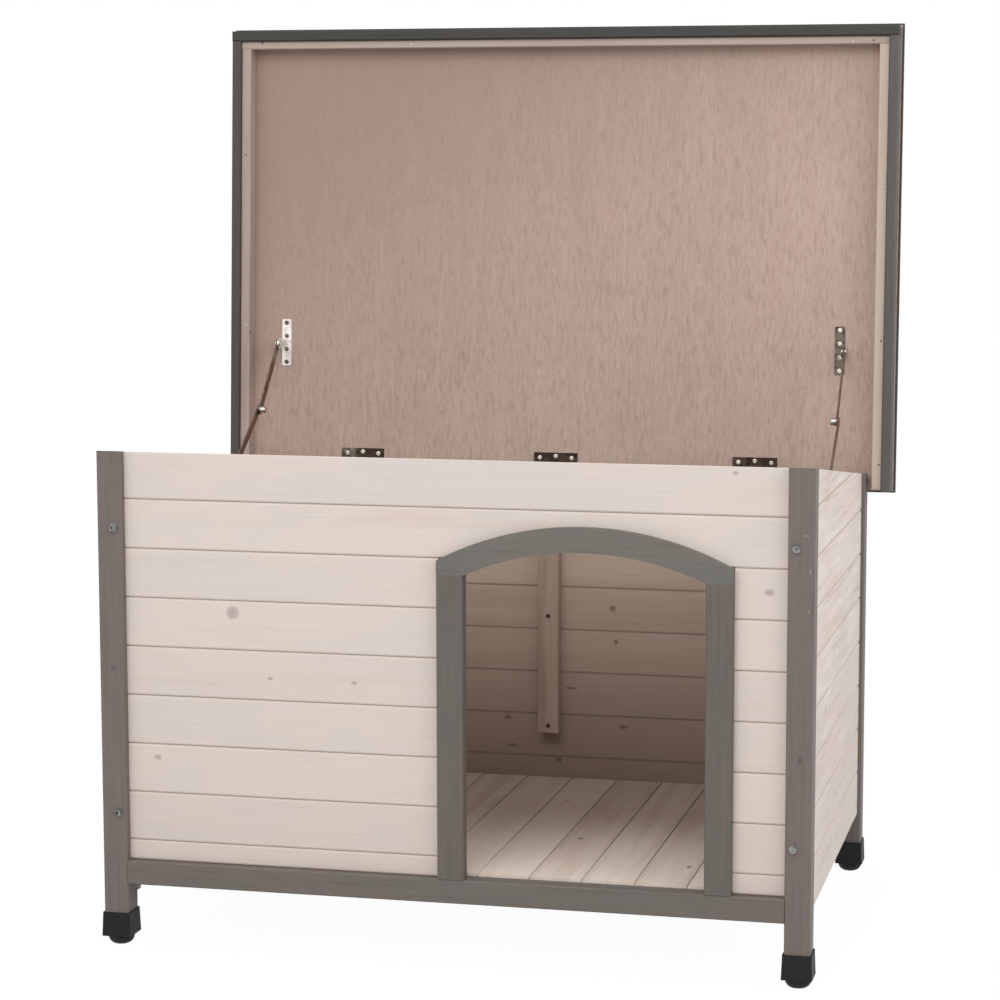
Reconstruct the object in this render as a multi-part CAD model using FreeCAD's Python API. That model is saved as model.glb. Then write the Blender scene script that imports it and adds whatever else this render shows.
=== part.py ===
import FreeCAD, Part
import math
import os

# A flat-roofed wooden dog house, drawn with its lid open. Millimetres, +Z up, door towards -Y.
# It is drawn with y = 0 on the front faces of the front posts and centred on its footprint at the end.

V = FreeCAD.Vector
X_AXIS, Y_AXIS, Z_AXIS = V(1, 0, 0), V(0, 1, 0), V(0, 0, 1)

# The box
half_width = 479.3          # to the outer faces of the posts
depth = 622.0               # from the front posts' faces to the back posts' faces
front_top = 672.0           # height of the walls at the front
back_top = 600.0            # height of the walls at the back
post = 34.0                 # square section of a post
board = 12.0                # thickness of a wall board
pitch = 66.0                # height of a wall board
lip = 2.6                   # rounding of a board's outer edges
tongue = 6.0                # height of a board's tongue
ease = 1.5                  # easing of the long edges of posts, rails and trims
soft_ease = 1.0             # and of the thinner battens, strips and floor boards
front_recess = 11.8         # front boards behind the posts' faces
back_recess = 12.0
side_recess = 5.4
front_joint = 145.5         # lowest joint between the front boards
side_base = 88.0            # lower edge of the side boards, from which their joints are counted
rail_base, rail_top, rail_thick = 86.0, 118.0, 26.0
batten = 20.0               # thickness of the battens inside the front and the back
side_batten = 13.6          # thickness of the battens inside the sides
top_batten_height = 84.0
corner_batten, corner_foot = 18.0, 67.0     # width and lower end of the battens that carry the bolts' nuts
end_batten_x, batten_half = 410.0, 15.0
front_batten_top, back_batten_top = 640.0, 540.0
centre_batten_half, centre_batten_foot = 16.0, 194.0
centre_screw_heights, centre_screw_length = (205.0, 375.0, 560.0), 17.0
clear = 0.5                 # between boards that only lie beside each other

# The doorway
door_centre = 181.6
door_half = 195.0           # to the outer edges of the frame
door_frame = 35.5           # width of an upright
door_depth = 19.7           # thickness of the frame
arch_outer, arch_inner = 420.0, 387.5
arch_centre_z = 168.1
jamb_lap, jamb_reach = 15.0, 28.0     # of the battens behind the uprights, from the frame's outer edge
jamb_shoulder, jamb_top = 538.0, 600.0

# The floor
floor_top, floor_thick, floor_pitch, floor_gap = 121.6, 14.0, 70.3, 1.0
floor_first, floor_count = -457.5, 13
bearer_width, bearer_inset = 30.0, 75.0
floor_play = 0.4

# The feet
cap_base, cap_top, cap_wall = 13.2, 45.8, 2.0
cap_flare = 1.2             # the cap is this much wider at its foot, each side
cap_floor, cap_round = 3.0, 1.8
pad_radius, pad_height, pad_flat = 17.4, 12.6, 8.5
pad_swell = (14.9, 3.7)     # radius and height of a point half way round the pad's dome
pad_shoulder = 10.6         # where the dome turns upright
stem_radius, stem_top, stem_room = 4.0, 44.0, 0.4
stem_hole_spare = 8.0

# The bolts that draw the posts to the side panels
bolt_x = 456.5
front_bolt_heights = (184.6, 570.0)
back_bolt_heights = (184.6, 500.0)
bolt_radius, bolt_length, bolt_room = 3.0, 47.0, 0.25
head_radius, head_height, washer_radius, washer_thick = 4.3, 4.0, 5.6, 1.2
socket_radius, socket_depth = 2.3, 2.5
nut_radius, nut_place, nut_length = 5.0, 9.0, 9.0
nut_room, nut_hole_half = 0.1, 15.0

# The lid, in its own plane: u from the hinge pin towards the front edge, v down from the pin
lid_lean = 2.97             # degrees past upright when the stays hold it open
leaf_offset = 3.05          # from the pin to the wood under a hinge leaf
panel_thick, felt_thick = 9.0, 2.4
panel_half, trim_half = 517.2, 514.8
side_trim, front_trim, side_strip, front_strip = 13.8, 15.5, 14.5, 11.6
trim_drop, strip_drop = 30.0, 24.0
lid_back, strip_back = -28.0, -25.0
lid_front = 661.5           # front edge of the plywood
trim_front = 659.1          # front face of the front trim
close_angle = 86.8          # degrees from open to shut

# The hinges
hinge_places = (-308.0, 0.0, 308.0)
hinge_half, leaf_width, leaf_thick = 34.0, 17.5, 1.4
knuckle_radius, pin_radius, pin_room, knuckle_gap = 2.75, 1.5, 0.06, 0.3
knuckle_count, leaf_gap, pin_spare = 5, 0.4, 1.0
hinge_screw_spread, hinge_screw_low, hinge_screw_high = 25.0, 9.5, 11.8

# The stays, on the left and the right
lug_x, lug_thick, plate_width = 440.7, 1.5, 15.0
lid_plate_from, lid_plate_to = 144.0, 216.0
plate_round, lug_radius = 2.0, 8.0
lid_plate_screws, lid_plate_margin = 4, 5.6
lid_pivot_u, lid_pivot_v = 178.0, 14.0
knee = (536.0, 684.5)       # y and z of the knee with the lid open
lower_length, lower_heading = 200.0, -144.0
link_width, link_thick, link_gap, link_eye = 12.0, 2.0, 0.3, 7.0
rivet_radius, rivet_room, rivet_head, rivet_head_thick = 2.5, 0.08, 4.5, 1.6
knee_boss_radius, knee_boss_length, knee_boss_round = 5.5, 8.0, 2.0
wall_plate_half, wall_screw_places = 37.0, (-30.0, -12.0, 12.0, 30.0)
screw_radius, screw_room, screw_head, screw_head_thick = 1.6, 0.15, 3.4, 0.8
leaf_screw_length, lid_screw_length, plate_screw_length, wall_screw_length = 14.0, 7.4, 7.0, 11.0
plate_clearance = 1.2       # between the wall plate and the lower link, for the screws' heads

# How far the shapes that only cut others reach
past, wide, sky = 60.0, 600.0, 200.0

# Worked out from the above
slope = math.atan2(front_top - back_top, depth)
post_inner = half_width - post
side_outer = half_width - side_recess
side_inner = side_outer - board
door_left, door_right = door_centre - door_half, door_centre + door_half
opening_half = door_half - door_frame
back_inner = depth - back_recess - board
arch_foot = arch_centre_z + math.sqrt(arch_inner ** 2 - opening_half ** 2)
pin_y = depth + 3.8
pin_z = front_top - pin_y * math.tan(slope) + leaf_offset / math.cos(slope)
batten_face = side_inner - side_batten
upper_in = lug_x + link_gap                     # the stays' layers, from the lug outwards
wall_plate_in = batten_face - leaf_thick
lower_in = wall_plate_in - plate_clearance - link_thick


def wall_height(y):
    return front_top - y * math.tan(slope)


def box(x0, x1, y0, y1, z0, z1):
    return Part.makeBox(x1 - x0, y1 - y0, z1 - z0, V(x0, y0, z0))


def rod(start, axis, radius, length):
    return Part.makeCylinder(radius, length, start, axis)


def prism(points, direction):
    wire = Part.makePolygon(points + points[:1])
    return Part.Face(wire).extrude(direction)


def eased(a0, a1, b0, b1, e=ease):
    """The corners of a rectangle with its four corners cut off."""
    return [(a0 + e, b0), (a1 - e, b0), (a1, b0 + e), (a1, b1 - e),
            (a1 - e, b1), (a0 + e, b1), (a0, b1 - e), (a0, b0 + e)]


def beam_x(x0, x1, y0, y1, z0, z1, e=ease):
    return prism([V(x0, a, b) for a, b in eased(y0, y1, z0, z1, e)], V(x1 - x0, 0, 0))


def beam_y(x0, x1, y0, y1, z0, z1, e=ease):
    return prism([V(a, y0, b) for a, b in eased(x0, x1, z0, z1, e)], V(0, y1 - y0, 0))


def beam_z(x0, x1, y0, y1, z0, z1, e=ease):
    return prism([V(a, b, z0) for a, b in eased(x0, x1, y0, y1, e)], V(0, 0, z1 - z0))


def under_roof(shape, drop=0.0):
    """Cuts off what stands above the sloping tops of the walls."""
    low, high = -past, depth + past
    points = [V(-wide, low, wall_height(low) - drop), V(-wide, high, wall_height(high) - drop),
              V(-wide, high, wall_height(high) + sky), V(-wide, low, wall_height(low) + sky)]
    return shape.cut(prism(points, V(2 * wide, 0, 0)))


def board_section(z0, z1, has_tongue, has_groove):
    """(depth behind the outer face, height) round one board's section."""
    soft = lip * 0.3
    mid0, mid1 = board / 3, board * 2 / 3
    play = 0.2
    points = [(0, z0 + lip), (0, z1 - lip), (soft, z1 - soft), (lip, z1)]
    if has_tongue:
        points += [(mid0, z1), (mid0, z1 + tongue), (mid1, z1 + tongue), (mid1, z1)]
    points += [(board, z1), (board, z0)]
    if has_groove:
        points += [(mid1 + play, z0), (mid1 + play, z0 + tongue + play)]
        points += [(mid0 - play, z0 + tongue + play), (mid0 - play, z0)]
    return points + [(lip, z0), (soft, z0 + soft)]


def board_rows(first_joint, base, top):
    """(lower edge, upper edge) of each row of boards from base to top."""
    edges = [base]
    z = first_joint
    while z < top - 1:
        edges.append(z)
        z += pitch
    return list(zip(edges, edges[1:] + [top]))


def front_board(x0, x1, z0, z1, has_tongue=True, has_groove=True):
    points = board_section(z0, z1, has_tongue, has_groove)
    return prism([V(x0, front_recess + t, z) for t, z in points], V(x1 - x0, 0, 0))


def back_board(x0, x1, z0, z1, has_tongue=True, has_groove=True):
    points = board_section(z0, z1, has_tongue, has_groove)
    return prism([V(x0, depth - back_recess - t, z) for t, z in points], V(x1 - x0, 0, 0))


def side_board(side, z0, z1, has_tongue=True, has_groove=True):
    points = board_section(z0, z1, has_tongue, has_groove)
    shape = [V(side * (side_outer - t), post, z) for t, z in points]
    return prism(shape, V(0, depth - 2 * post, 0))


def bolt_lines():
    """(x, face y, inward direction, height) of each bolt."""
    lines = []
    for side in (-1, 1):
        lines += [(side * bolt_x, 0.0, 1, z) for z in front_bolt_heights]
        lines += [(side * bolt_x, depth, -1, z) for z in back_bolt_heights]
    return lines


def bolt_holes():
    holes = []
    for x, y, way, z in bolt_lines():
        holes.append(rod(V(x, y, z), V(0, way, 0), bolt_radius + bolt_room, bolt_length + clear))
        nut_centre = V(x - nut_hole_half, y + way * (post + nut_place), z)
        holes.append(rod(nut_centre, X_AXIS, nut_radius + nut_room, 2 * nut_hole_half))
    return Part.makeCompound(holes)


def make_bolts():
    bolts, washers, nuts = [], [], []
    for x, y, way, z in bolt_lines():
        inward = V(0, way, 0)
        outer = V(x, y - way * washer_thick, z)
        washer = rod(outer, inward, washer_radius, washer_thick)
        washers.append(washer.cut(rod(outer, inward, bolt_radius + bolt_room, washer_thick)))
        top = V(x, y - way * (washer_thick + head_height), z)
        bolt = rod(top, inward, head_radius, head_height)
        bolt = bolt.fuse(rod(outer, inward, bolt_radius, bolt_length + washer_thick))
        turns = [math.radians(60 * k) for k in range(6)]
        corners = [V(x + socket_radius * math.cos(turn), top.y, z + socket_radius * math.sin(turn))
                   for turn in turns]
        bolts.append(bolt.cut(prism(corners, inward * socket_depth)))
        centre_y = y + way * (post + nut_place)
        nut = rod(V(x - nut_length / 2, centre_y, z), X_AXIS, nut_radius, nut_length)
        nuts.append(nut.cut(rod(V(x, y, z), inward, bolt_radius + nut_room, bolt_length + post)))
    return bolts, washers, nuts


def foot_centres():
    near, far = post / 2, depth - post / 2
    x = half_width - post / 2
    return {"front_left": (-x, near), "front_right": (x, near),
            "back_left": (-x, far), "back_right": (x, far)}


def make_post(x, y):
    half = post / 2
    shape = beam_z(x - half, x + half, y - half, y + half, cap_base + cap_floor, front_top + post)
    shape = under_roof(shape)
    shape = shape.cut(rod(V(x, y, 0), Z_AXIS, stem_radius + stem_room, stem_top + stem_hole_spare))
    return shape.cut(bolt_holes())


def make_cap(x, y):
    def square(z, half):
        corners = [V(x - half, y - half, z), V(x + half, y - half, z),
                   V(x + half, y + half, z), V(x - half, y + half, z)]
        return Part.makePolygon(corners + corners[:1])
    top = post / 2 + cap_wall
    cap = Part.makeLoft([square(cap_base, top + cap_flare), square(cap_top, top)], True, True)
    upright = [edge for edge in cap.Edges if edge.BoundBox.ZLength > (cap_top - cap_base) / 2]
    cap = cap.makeFillet(cap_round, upright)
    half = post / 2
    cap = cap.cut(box(x - half, x + half, y - half, y + half, cap_base + cap_floor, cap_top))
    return cap.cut(rod(V(x, y, 0), Z_AXIS, stem_radius + stem_room, cap_top))


def make_pad(x, y):
    """A domed pad on a threaded stem, turned about the post's centre line."""
    foot, rim = V(pad_flat, 0, 0), V(pad_radius, 0, pad_shoulder)
    dome = Part.Arc(foot, V(pad_swell[0], 0, pad_swell[1]), rim).toShape()
    rest = Part.makePolygon([rim, V(pad_radius, 0, pad_height), V(stem_radius, 0, pad_height),
                             V(stem_radius, 0, stem_top), V(0, 0, stem_top), V(0, 0, 0), foot])
    face = Part.Face(Part.Wire([dome] + rest.Edges))
    return face.revolve(V(0, 0, 0), Z_AXIS, 360).translated(V(x, y, 0))


def end_battens(y0, y1, top):
    """The two battens near the ends of the front or the back, from the floor up."""
    low = floor_top + floor_play
    return [box(x - batten_half, x + batten_half, y0, y1, low, top) for x in (-end_batten_x, end_batten_x)]


def make_front():
    rows = board_rows(front_joint, rail_top, front_top)
    nodes = {}
    low, high = rows[-1]
    nodes["front_top_board"] = [under_roof(front_board(-post_inner, post_inner, low, high, False))]
    low, high = rows[-2]
    arch_board = front_board(-post_inner, post_inner, low, high)
    cut = rod(V(door_centre, -past, arch_centre_z), Y_AXIS, arch_outer, 2 * past)
    nodes["front_arch_board"] = [arch_board.cut(cut)]
    left, right = [], []
    for count, (low, high) in enumerate(rows[:-2]):
        groove = count > 0
        left.append(front_board(-post_inner, door_left, low, high, True, groove))
        right.append(front_board(door_right, post_inner, low, high, True, groove))
    nodes["front_left_boards"] = left
    nodes["front_right_boards"] = right
    inner, outer = door_left + door_frame, door_right - door_frame
    nodes["door_left_upright"] = [beam_z(door_left, inner, 0, door_depth, rail_top, arch_foot)]
    nodes["door_right_upright"] = [beam_z(outer, door_right, 0, door_depth, rail_top, arch_foot)]
    centre = V(door_centre, 0, arch_centre_z)
    ring = rod(centre, Y_AXIS, arch_outer, door_depth).cut(rod(centre, Y_AXIS, arch_inner, door_depth))
    ends = box(door_left, door_right, 0, door_depth, arch_foot, arch_centre_z + arch_outer)
    nodes["door_arch"] = [ring.common(ends)]
    nodes["front_base_rail"] = [beam_x(-post_inner, post_inner, 0, rail_thick, rail_base, rail_top)]
    back = front_recess + board
    low = floor_top + floor_play
    posts = end_battens(back, back + batten, front_batten_top)
    # each of the two beside the doorway is rebated for the boards' ends
    for edge, way in ((door_left, 1), (door_right, -1)):
        x0, x1 = sorted((edge - way * jamb_lap, edge + way * jamb_reach))
        jamb = box(x0, x1, back, back + batten, low, jamb_top)
        x0, x1 = sorted((edge, edge + way * jamb_reach))
        posts.append(jamb.fuse(box(x0, x1, door_depth, back, low, jamb_shoulder)))
    nodes["front_inner_battens"] = posts
    return nodes


def make_sides():
    nodes = {}
    rows = board_rows(side_base + pitch, side_base, front_top + clear)
    holes = bolt_holes()
    for name, side in (("left", -1), ("right", 1)):
        boards = []
        for count, (low, high) in enumerate(rows):
            last = count == len(rows) - 1
            boards.append(under_roof(side_board(side, low, high, not last, count > 0)))
        nodes[name + "_side_boards"] = boards
        x0, x1 = sorted((side * batten_face, side * side_inner))
        front_end, back_end = post + corner_batten, depth - post - corner_batten
        uprights = [box(x0, x1, post, front_end, corner_foot, front_top),
                    box(x0, x1, back_end, depth - post, corner_foot, front_top)]
        uprights = [under_roof(upright).cut(holes) for upright in uprights]
        rail = box(x0, x1, front_end, back_end, 0, front_top)
        rail = rail.common(under_roof_slab(top_batten_height))
        nodes[name + "_side_battens"] = uprights + [rail]
    return nodes


def under_roof_slab(thick):
    """The slab just under the wall tops, as thick as given."""
    points = [V(-wide, 0, wall_height(0)), V(-wide, depth, wall_height(depth)),
              V(-wide, depth, wall_height(depth) - thick), V(-wide, 0, wall_height(0) - thick)]
    return prism(points, V(2 * wide, 0, 0))


def make_back():
    nodes = {}
    rows = board_rows(side_base + pitch, rail_top, wall_height(depth - back_recess))
    boards = []
    for count, (low, high) in enumerate(rows):
        last = count == len(rows) - 1
        top = high + board if last else high
        made = back_board(-post_inner, post_inner, low, top, not last, count > 0)
        boards.append(under_roof(made) if last else made)
    nodes["back_boards"] = boards
    y0 = depth - rail_thick
    nodes["back_base_rail"] = [beam_x(-post_inner, post_inner, y0, depth, rail_base, rail_top)]
    rail = box(-post_inner, post_inner, depth - back_recess, depth, back_batten_top, front_top)
    nodes["back_top_rail"] = [under_roof(rail)]
    y0, y1 = back_inner - batten, back_inner
    half = centre_batten_half
    centre = beam_z(-half, half, y0, y1, centre_batten_foot, front_top, soft_ease)
    nodes["back_centre_batten"] = [under_roof(centre, 2 * clear)]
    nodes["back_end_battens"] = end_battens(y0, y1, back_batten_top)
    return nodes


def notched(plank):
    """A floor board beside the side wall, cut out at both ends round the posts and the corner battens."""
    reach = post + corner_batten + clear
    for side in (-1, 1):
        x0, x1 = between(side, post_inner - clear, half_width)
        for y0, y1 in ((0, reach), (depth - reach, depth)):
            plank = plank.cut(box(x0, x1, y0, y1, 0, front_top))
    return plank


def make_floor():
    boards = []
    y0, y1 = rail_thick + clear, depth - rail_thick - clear
    for count in range(floor_count):
        x0 = floor_first + count * floor_pitch
        x1 = x0 + floor_pitch - floor_gap
        plank = beam_y(x0, x1, y0, y1, floor_top - floor_thick, floor_top, soft_ease)
        beside_posts = max(abs(x0), abs(x1)) > post_inner - clear
        boards.append(notched(plank) if beside_posts else plank)
    bearers = []
    for y in (bearer_inset, depth / 2, depth - bearer_inset):
        y0, y1 = y - bearer_width / 2, y + bearer_width / 2
        bearers.append(box(-side_inner, side_inner, y0, y1, side_base, floor_top - floor_thick))
    return {"floor_boards": boards, "floor_bearers": bearers}


# Lid pieces are drawn upright: x, then y = -v behind the pin, then z = u above it.
def place_lid(shape):
    turned = shape.copy()
    turned.rotate(V(0, 0, 0), X_AXIS, -lid_lean)
    turned.translate(V(0, pin_y, pin_z))
    return turned


def lid_point(u, v):
    lean = math.radians(lid_lean)
    y = pin_y + u * math.sin(lean) - v * math.cos(lean)
    return (y, pin_z + u * math.cos(lean) + v * math.sin(lean))


def make_lid():
    nodes = {}
    face = leaf_offset
    top = face + panel_thick
    nodes["lid_panel"] = [box(-panel_half, panel_half, face, top, lid_back, lid_front)]
    grown = felt_thick
    felt = box(-panel_half - grown, panel_half + grown, face, top + grown,
               lid_back - grown, lid_front + grown)
    felt = felt.cut(box(-panel_half, panel_half, face, top, lid_back, lid_front))
    nodes["roofing_felt"] = [felt]
    trim_low, strip_low = face - trim_drop, face - strip_drop
    trim_start = trim_front - front_trim
    strip_start = trim_start - front_strip
    nodes["lid_front_trim"] = [beam_x(-trim_half, trim_half, trim_low, face, trim_start, trim_front)]
    inner = trim_half - side_trim
    nodes["lid_front_strip"] = [beam_x(-inner, inner, strip_low, face, strip_start, trim_start, soft_ease)]
    for name, side in (("left", -1), ("right", 1)):
        x0, x1 = sorted((side * inner, side * trim_half))
        nodes["lid_%s_trim" % name] = [beam_z(x0, x1, trim_low, face, lid_back, trim_start)]
        x0, x1 = sorted((side * (inner - side_strip), side * inner))
        strip = beam_z(x0, x1, strip_low, face, strip_back, strip_start, soft_ease)
        nodes["lid_%s_strip" % name] = [strip]
    return nodes


def knuckles(centre, odd):
    """The rolled parts of one leaf: three for the wall leaf, the two between them for the lid leaf."""
    step = 2 * hinge_half / knuckle_count
    made = []
    for count in range(knuckle_count):
        if count % 2 == odd:
            start = centre - hinge_half + count * step + knuckle_gap / 2
            made.append((start, start + step - knuckle_gap))
    return made


def hinge_leaf(centre, odd, side):
    """A leaf drawn along +z above the pin, on the side y = side * offset, with its knuckles."""
    y0, y1 = sorted((side * leaf_offset, side * (leaf_offset - leaf_thick)))
    start = knuckle_radius + leaf_gap
    leaf = box(centre - hinge_half, centre + hinge_half, y0, y1, start, leaf_width)
    for x0, x1 in knuckles(centre, odd):
        leaf = leaf.fuse(box(x0, x1, y0, y1, 0, start))
        leaf = leaf.fuse(rod(V(x0, 0, 0), X_AXIS, knuckle_radius, x1 - x0))
    leaf = leaf.removeSplitter()
    for x, z in hinge_screw_places(centre):
        leaf = leaf.cut(rod(V(x, -past, z), Y_AXIS, screw_radius + screw_room, 2 * past))
    bore = rod(V(centre - hinge_half, 0, 0), X_AXIS, pin_radius + pin_room, 2 * hinge_half)
    return leaf.cut(bore)


def hinge_screw_places(centre):
    return [(centre - hinge_screw_spread, hinge_screw_low), (centre, hinge_screw_high),
            (centre + hinge_screw_spread, hinge_screw_low)]


def screw(start, inward, length):
    """A screw whose head stands proud of start and whose shank goes inward from there."""
    head = rod(start - inward * screw_head_thick, inward, screw_head, screw_head_thick)
    return head.fuse(rod(start, inward, screw_radius, length))


def screw_hole(start, inward, length):
    return rod(start, inward, screw_radius + screw_room, length + clear)


def lay_on_wall(shape):
    """Turns a leaf drawn upright so that it lies on the sloping top of the back wall."""
    turned = shape.copy()
    turned.rotate(V(0, 0, 0), X_AXIS, 90 - math.degrees(slope))
    turned.translate(V(0, pin_y, pin_z))
    return turned


def make_hinges():
    nodes = {"hinge_lid_leaves": [], "hinge_wall_leaves": [], "hinge_pins": []}
    nodes["hinge_lid_screws"], nodes["hinge_wall_screws"] = [], []
    lid_holes, wall_holes = [], []
    inside = leaf_offset - leaf_thick
    for centre in hinge_places:
        nodes["hinge_lid_leaves"].append(place_lid(hinge_leaf(centre, 1, 1)))
        nodes["hinge_wall_leaves"].append(lay_on_wall(hinge_leaf(centre, 0, -1)))
        start = V(centre - hinge_half - pin_spare, pin_y, pin_z)
        nodes["hinge_pins"].append(rod(start, X_AXIS, pin_radius, 2 * (hinge_half + pin_spare)))
        for x, z in hinge_screw_places(centre):
            on_lid, on_wall = V(x, inside, z), V(x, -inside, z)
            nodes["hinge_lid_screws"].append(place_lid(screw(on_lid, Y_AXIS, lid_screw_length)))
            lid_holes.append(place_lid(screw_hole(on_lid, Y_AXIS, lid_screw_length)))
            nodes["hinge_wall_screws"].append(lay_on_wall(screw(on_wall, -Y_AXIS, leaf_screw_length)))
            wall_holes.append(lay_on_wall(screw_hole(on_wall, -Y_AXIS, leaf_screw_length)))
    return nodes, lid_holes, wall_holes


def link(x0, x1, start, end, holes):
    """A flat link with round ends between two (y, z) points."""
    radius = link_width / 2
    across = V(0, start[1] - end[1], end[0] - start[0])
    across.normalize()
    a, b = V(x0, start[0], start[1]), V(x0, end[0], end[1])
    thick = x1 - x0
    bar = prism([a + across * radius, b + across * radius, b - across * radius, a - across * radius],
                V(thick, 0, 0))
    bar = bar.fuse(rod(a, X_AXIS, link_eye, thick)).fuse(rod(b, X_AXIS, link_eye, thick))
    for y, z in holes:
        bar = bar.cut(rod(V(x0, y, z), X_AXIS, rivet_radius + rivet_room, thick))
    return bar.removeSplitter()


def wall_pivot():
    heading = math.radians(lower_heading)
    return (knee[0] + lower_length * math.cos(heading), knee[1] + lower_length * math.sin(heading))


def between(side, low, high):
    """The x limits of a piece on the right of the house, mirrored for the left."""
    return sorted((side * low, side * high))


def rounded_plate(x0, x1, y0, y1, z0, z1, through):
    """A plate with its corners rounded about the axis through its thickness."""
    plate = box(x0, x1, y0, y1, z0, z1)
    corners = [edge for edge in plate.Edges
               if abs(edge.tangentAt(edge.FirstParameter).dot(through)) > 0.9]
    return plate.makeFillet(plate_round, corners)


def on_wall_plate(shape):
    """Turns what is drawn level about the wall pivot to the slope of the walls, in its place."""
    turned = shape.copy()
    turned.rotate(V(0, 0, 0), X_AXIS, -math.degrees(slope))
    turned.translate(V(0, *wall_pivot()))
    return turned


def make_lid_bracket(side):
    """The plate on the lid with the lug for the upper link, and the places of its screws."""
    face = leaf_offset
    x0, x1 = between(side, lug_x - plate_width, lug_x)
    plate = rounded_plate(x0, x1, face - lug_thick, face, lid_plate_from, lid_plate_to, Y_AXIS)
    x0, x1 = between(side, lug_x - lug_thick, lug_x)
    lug = box(x0, x1, -lid_pivot_v, face, lid_pivot_u - lug_radius, lid_pivot_u + lug_radius)
    pivot = V(x0, -lid_pivot_v, lid_pivot_u)
    lug = lug.fuse(rod(pivot, X_AXIS, lug_radius, lug_thick))
    bracket = plate.fuse(lug).removeSplitter().cut(rod(pivot, X_AXIS, rivet_radius, lug_thick))
    middle = side * (lug_x - plate_width / 2)
    step = (lid_plate_to - lid_plate_from - 2 * lid_plate_margin) / (lid_plate_screws - 1)
    places = [V(middle, face - lug_thick, lid_plate_from + lid_plate_margin + count * step)
              for count in range(lid_plate_screws)]
    return bracket, places


def make_lid_rivet(side, pivot):
    """The rivet through the lug and the upper link, with a head at each end."""
    inner, outer = lug_x - lug_thick, upper_in + link_thick + link_gap
    out = V(side, 0, 0)
    rivet = rod(V(side * inner, *pivot), out, rivet_radius, outer - inner)
    rivet = rivet.fuse(rod(V(side * inner, *pivot), -out, rivet_head, rivet_head_thick))
    return rivet.fuse(rod(V(side * outer, *pivot), out, rivet_head, rivet_head_thick))


def make_knee_rivet(side):
    """The knee's cap on the upper link, with its rim rounded."""
    boss = rod(V(side * upper_in, *knee), V(-side, 0, 0), knee_boss_radius, knee_boss_length)
    rim = [edge for edge in boss.Edges if edge.Closed and abs(edge.CenterOfMass.x) < upper_in - 1]
    return boss.makeFillet(knee_boss_round, rim[:1])


def make_wall_plate(side):
    """The plate for the lower link on the side wall's top batten, and the places of its screws."""
    x0, x1 = between(side, wall_plate_in, batten_face)
    plate = rounded_plate(x0, x1, -wall_plate_half, wall_plate_half,
                          -plate_width / 2, plate_width / 2, X_AXIS)
    return plate, [V(side * wall_plate_in, y, 0) for y in wall_screw_places]


def make_wall_rivet(side, foot):
    inner = lower_in - link_gap
    inward = V(-side, 0, 0)
    rivet = rod(V(side * wall_plate_in, *foot), inward, rivet_radius, wall_plate_in - inner)
    return rivet.fuse(rod(V(side * inner, *foot), inward, rivet_head, rivet_head_thick))


def make_stays():
    nodes = {"stay_lid_brackets": [], "stay_lid_rivets": [], "stay_lid_screws": []}
    nodes["stay_wall_plates"], nodes["stay_wall_rivets"], nodes["stay_wall_screws"] = [], [], []
    lid_holes, wall_holes = [], []
    pivot, foot = lid_point(lid_pivot_u, lid_pivot_v), wall_pivot()
    for name, side in (("left", -1), ("right", 1)):
        bracket, places = make_lid_bracket(side)
        for start in places:
            hole = screw_hole(start, Y_AXIS, plate_screw_length)
            bracket = bracket.cut(hole)
            lid_holes.append(place_lid(hole))
            nodes["stay_lid_screws"].append(place_lid(screw(start, Y_AXIS, plate_screw_length)))
        nodes["stay_lid_brackets"].append(place_lid(bracket))
        nodes["stay_lid_rivets"].append(make_lid_rivet(side, pivot))
        x0, x1 = between(side, upper_in, upper_in + link_thick)
        nodes[name + "_upper_link"] = [link(x0, x1, pivot, knee, [pivot])]
        nodes[name + "_knee_rivet"] = [make_knee_rivet(side)]
        x0, x1 = between(side, lower_in, lower_in + link_thick)
        nodes[name + "_lower_link"] = [link(x0, x1, foot, knee, [foot])]
        plate, places = make_wall_plate(side)
        out = V(side, 0, 0)
        for start in places:
            hole = screw_hole(start, out, wall_screw_length)
            plate = plate.cut(hole)
            wall_holes.append(on_wall_plate(hole))
            nodes["stay_wall_screws"].append(on_wall_plate(screw(start, out, wall_screw_length)))
        nodes["stay_wall_plates"].append(on_wall_plate(plate))
        nodes["stay_wall_rivets"].append(make_wall_rivet(side, foot))
    return nodes, lid_holes, wall_holes


def turn_about(point, centre, angle):
    """A (y, z) point turned about another by the right-hand rule about +X."""
    dy, dz = point[0] - centre[0], point[1] - centre[1]
    c, s = math.cos(angle), math.sin(angle)
    return (centre[0] + dy * c - dz * s, centre[1] + dy * s + dz * c)


def bearing(start, end):
    return math.atan2(end[1] - start[1], end[0] - start[0])


def wrapped(angle):
    return math.atan2(math.sin(angle), math.cos(angle))


def stay_turns(close_angle):
    """How far each link turns as the lid closes: the upper about the lid, the lower about the wall."""
    pin = (pin_y, pin_z)
    pivot, foot = lid_point(lid_pivot_u, lid_pivot_v), wall_pivot()
    upper = math.dist(pivot, knee)
    shut = turn_about(pivot, pin, close_angle)
    span = math.dist(foot, shut)
    along = (lower_length ** 2 - upper ** 2 + span ** 2) / (2 * span)
    off = math.sqrt(lower_length ** 2 - along ** 2)
    towards = bearing(foot, shut)
    shut_knee = (foot[0] + along * math.cos(towards) + off * math.sin(towards),
                 foot[1] + along * math.sin(towards) - off * math.cos(towards))
    lower_turn = wrapped(bearing(foot, shut_knee) - bearing(foot, knee))
    upper_turn = wrapped(bearing(shut, shut_knee) - close_angle - bearing(pivot, knee))
    return lower_turn, upper_turn, shut, shut_knee


def make_centre_screws():
    places = [V(0, back_inner - batten, z) for z in centre_screw_heights]
    made = [screw(start, Y_AXIS, centre_screw_length) for start in places]
    return made, [screw_hole(start, Y_AXIS, centre_screw_length) for start in places]


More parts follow.
